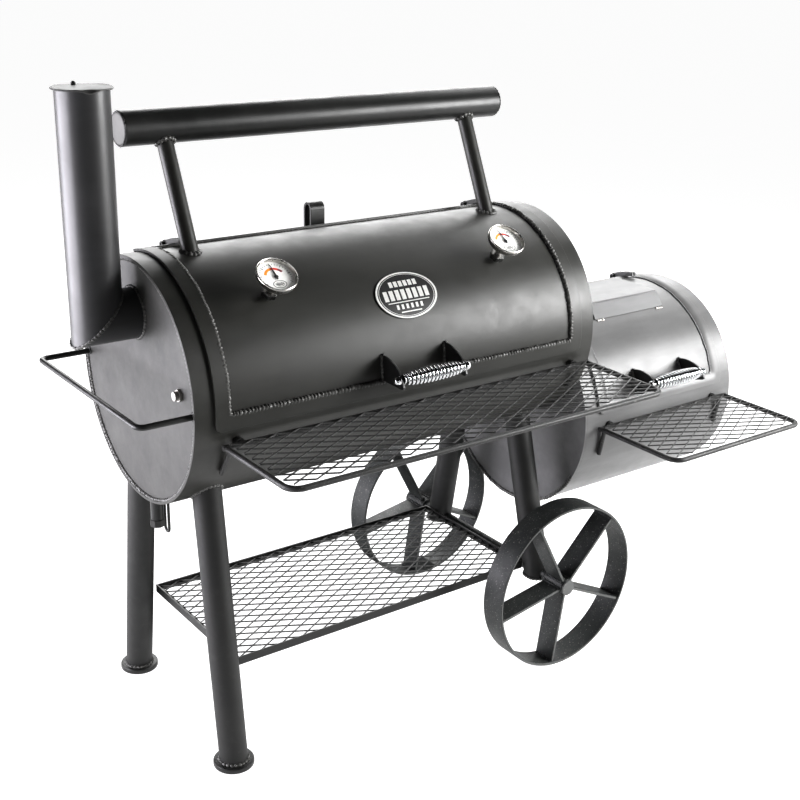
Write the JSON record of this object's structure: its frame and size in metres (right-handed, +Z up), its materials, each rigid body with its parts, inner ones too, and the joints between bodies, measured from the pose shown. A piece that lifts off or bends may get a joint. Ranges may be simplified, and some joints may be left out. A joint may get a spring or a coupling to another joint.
{
  "type": "offset barrel grill",
  "caption": "Barrel charcoal grill with a side firebox, counterweighted curved door, pipe stack, mesh shelves, splayed pipe legs and wagon wheels.",
  "frame": {"origin": "on the floor, under the middle of the whole outline", "axes": "+X along the barrel towards the firebox, -Y the side with the doors and front shelves, +Z up"},
  "size_m": [1.6764, 0.804, 1.3846],
  "materials": {
    "black_paint": "satin",
    "firebox_paint": "satin",
    "fin_paint": "satin",
    "plated_steel": "polished",
    "chrome_wire": "polished",
    "dial_case": "brushed",
    "dial_face": "printed scale",
    "needle": "matt",
    "badge": "black oval with a pale rim",
    "shelf_paint": "satin",
    "raw_steel": "seasoned",
    "wheel_paint": "satin, worn",
    "fittings": "satin"
  },
  "bodies": {
    "pit": {"chamber_shell": "black_paint", "chamber_end_left": "black_paint", "chamber_end_right": "black_paint", "firebox_shell": "firebox_paint", "firebox_end_left": "firebox_paint", "firebox_end_right": "firebox_paint", "heat_baffle": "raw_steel", "grate_rails": "raw_steel", "stack_stub": "black_paint", "stack_pipe": "black_paint", "pivot_bolts": "plated_steel", "side_handle": "black_paint", "end_plug": "plated_steel", "drain_pipe": "black_paint", "bucket_hook": "black_paint", "door_stop": "black_paint", "shelf_sockets": "black_paint", "hinge_knuckles": "fittings", "leg_front_left": "black_paint", "leg_back_left": "black_paint", "leg_front_right": "black_paint", "leg_back_right": "black_paint", "foot_flanges": "black_paint", "axle": "wheel_paint", "lower_shelf_frame": "shelf_paint", "lower_shelf_mesh": "shelf_paint"},
    "chamber_door": {"door_panel": "black_paint", "door_strap": "black_paint", "door_hinge_knuckles": "fittings", "door_fins": "fin_paint", "door_handle_rod": "plated_steel", "badge": "badge", "counterweight_posts": "black_paint", "counterweight_tube": "black_paint", "thermometer_left": "dial_case", "dial_left": "dial_face", "thermometer_right": "dial_case", "dial_right": "dial_face"},
    "chamber_door_grip": {"door_handle_spring": "chrome_wire"},
    "left_needle": {"needle_left": "needle"},
    "right_needle": {"needle_right": "needle"},
    "firebox_door": {"firebox_door_panel": "firebox_paint", "firebox_door_strap": "firebox_paint", "firebox_door_knuckles": "fittings", "firebox_fins": "fin_paint", "firebox_handle_rod": "plated_steel", "warming_plate": "firebox_paint"},
    "firebox_door_grip": {"firebox_handle_spring": "chrome_wire"},
    "stack_cover": {"stack_lid": "fittings"},
    "damper": {"air_damper": "fittings"},
    "front_wheel": {"wheel_front": "wheel_paint"},
    "back_wheel": {"wheel_back": "wheel_paint"},
    "chamber_shelf": {"main_shelf_frame": "shelf_paint", "main_shelf_mesh": "shelf_paint"},
    "firebox_side_shelf": {"firebox_shelf_frame": "shelf_paint", "firebox_shelf_mesh": "shelf_paint"},
    "left_grate": {"cooking_grate_left": "raw_steel"},
    "right_grate": {"cooking_grate_right": "raw_steel"},
    "charcoal_grate": {"fire_grate": "raw_steel"}
  },
  "joints": [
    {"name": "chamber_door_hinge", "type": "hinge", "parent": "pit", "child": "chamber_door", "pos_m": [-0.20025, 0.20671, 1.04431], "axis": [-1, 0, 0], "range_deg": [0, 113]},
    {"name": "chamber_grip_spin", "type": "hinge", "parent": "chamber_door", "child": "chamber_door_grip", "pos_m": [-0.20025, -0.20671, 0.81356], "axis": [1, 0, 0], "continuous": true},
    {"name": "left_needle_turn", "type": "hinge", "parent": "chamber_door", "child": "left_needle", "pos_m": [-0.50225, -0.10083, 1.03369], "axis": [0, -0.5664, 0.8241], "range_deg": [-120, 120]},
    {"name": "right_needle_turn", "type": "hinge", "parent": "chamber_door", "child": "right_needle", "pos_m": [0.06975, -0.10083, 1.03369], "axis": [0, -0.5664, 0.8241], "range_deg": [-120, 120]},
    {"name": "firebox_door_hinge", "type": "hinge", "parent": "pit", "child": "firebox_door", "pos_m": [0.56175, 0.20671, 0.79631], "axis": [-1, 0, 0], "range_deg": [0, 113]},
    {"name": "firebox_grip_spin", "type": "hinge", "parent": "firebox_door", "child": "firebox_door_grip", "pos_m": [0.56175, -0.1899, 0.65438], "axis": [1, 0, 0], "continuous": true},
    {"name": "stack_lid_swivel", "type": "hinge", "parent": "pit", "child": "stack_cover", "pos_m": [-0.78125, 0.1468, 1.378], "axis": [0, 0, 1], "range_deg": [0, 110]},
    {"name": "air_damper_turn", "type": "hinge", "parent": "pit", "child": "damper", "pos_m": [0.81275, 0.108, 0.507], "axis": [1, 0, 0], "range_deg": [0, 60]},
    {"name": "front_wheel_spin", "type": "hinge", "parent": "pit", "child": "front_wheel", "pos_m": [0.21175, -0.187, 0.203], "axis": [0, 1, 0], "continuous": true},
    {"name": "back_wheel_spin", "type": "hinge", "parent": "pit", "child": "back_wheel", "pos_m": [0.21175, 0.365, 0.203], "axis": [0, 1, 0], "continuous": true},
    {"name": "chamber_shelf_pull", "type": "slide", "parent": "pit", "child": "chamber_shelf", "axis": [0, -1, 0], "range_m": [0, 0.1]},
    {"name": "firebox_shelf_pull", "type": "slide", "parent": "pit", "child": "firebox_side_shelf", "axis": [0, -1, 0], "range_m": [0, 0.1]},
    {"name": "left_grate_lift", "type": "slide", "parent": "pit", "child": "left_grate", "axis": [0, 0, 1], "range_m": [0, 0.05]},
    {"name": "right_grate_lift", "type": "slide", "parent": "pit", "child": "right_grate", "axis": [0, 0, 1], "range_m": [0, 0.05]},
    {"name": "fire_grate_lift", "type": "slide", "parent": "pit", "child": "charcoal_grate", "axis": [0, 0, 1], "range_m": [0, 0.05]}
  ]
}
